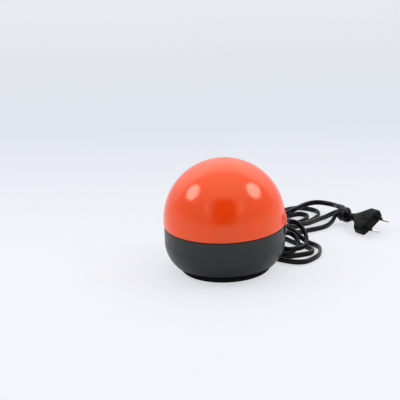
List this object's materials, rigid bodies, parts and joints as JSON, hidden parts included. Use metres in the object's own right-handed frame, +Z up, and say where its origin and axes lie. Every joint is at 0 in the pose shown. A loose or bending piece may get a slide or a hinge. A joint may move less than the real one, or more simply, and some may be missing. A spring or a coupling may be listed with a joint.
{
  "type": "darkroom safelight",
  "caption": "Tabletop darkroom safelight: a pygmy bulb under an orange-red dome on a dark bowl-shaped base, with a coiled cord and flat two-pin plug.",
  "frame": {"origin": "centre of the foot on the plane the lamp rests on", "axes": "+Z up along the lamp's axis, +X towards the index pads on dome and base; the cord leaves the base between +X and +Y"},
  "size_m": [0.2509, 0.2396, 0.12],
  "materials": {
    "dome_plastic": "glossy translucent orange-red moulding",
    "base_plastic": "satin dark grey moulding",
    "foot_plastic": "matt black moulding",
    "black_rubber": "soft black rubber",
    "cord_pvc": "glossy black flexible sheath",
    "plug_plastic": "satin black moulding",
    "brown_pvc": "brown wire insulation",
    "blue_pvc": "blue wire insulation",
    "brass": "plain stamped brass",
    "steel": "zinc-plated steel",
    "nickel": "nickel plate",
    "holder_ceramic": "glazed cream ceramic",
    "reflector_paint": "white stove enamel",
    "seal_foam": "dense dark foam",
    "solder": "dull solder",
    "black_glass": "black glass insulator",
    "bulb_glass": "clear glass",
    "lead_wire": "drawn nickel-iron wire",
    "tungsten": "drawn tungsten wire"
  },
  "bodies": {
    "base": {"base_shell": "base_plastic", "foot_cover": "foot_plastic", "cover_screws": "steel", "cord_gland": "black_rubber", "cord_clamp": "foot_plastic", "clamp_screws": "steel", "mains_cord": "cord_pvc", "live_wire": "brown_pvc", "neutral_wire": "blue_pvc", "terminal_blocks": "brass", "terminal_screws": "steel", "holder_bracket": "steel", "bracket_screws": "steel", "holder_core": "holder_ceramic", "holder_screws": "steel", "holder_sleeve": "holder_ceramic", "centre_contact": "brass", "side_contact": "brass", "thread_shell": "brass", "reflector_plate": "reflector_paint", "reflector_screws": "steel", "bend_relief": "black_rubber", "plug_body": "plug_plastic", "plug_pins": "nickel", "pin_sleeves": "foot_plastic"},
    "dome_seal": {"light_seal": "seal_foam"},
    "dome": {"dome": "dome_plastic"},
    "bulb_contact": {"bulb_tip": "solder", "bulb_insulator": "black_glass"},
    "bulb": {"bulb_cap": "nickel", "bulb_glass": "bulb_glass", "bulb_stem": "bulb_glass", "lead_wires": "lead_wire", "filament": "tungsten"}
  },
  "joints": [
    {"name": "dome_lift", "type": "slide", "parent": "base", "child": "dome_seal", "axis": [0, 0, 1], "range_m": [0, 0.1]},
    {"name": "dome_twist", "type": "hinge", "parent": "dome_seal", "child": "dome", "pos_m": [0, 0, 0.05], "axis": [0, 0, 1], "range_deg": [-20, 0]},
    {"name": "bulb_rise", "type": "slide", "parent": "base", "child": "bulb_contact", "axis": [0, 0, 1], "range_m": [0, 0.0099]},
    {"name": "bulb_turn", "type": "hinge", "parent": "bulb_contact", "child": "bulb", "pos_m": [0, 0, 0.04], "axis": [0, 0, 1], "range_deg": [0, 1260]}
  ],
  "couplings": [
    {"joint": "bulb_rise", "follows": "bulb_turn", "m_per_rad": 0.00044913}
  ]
}
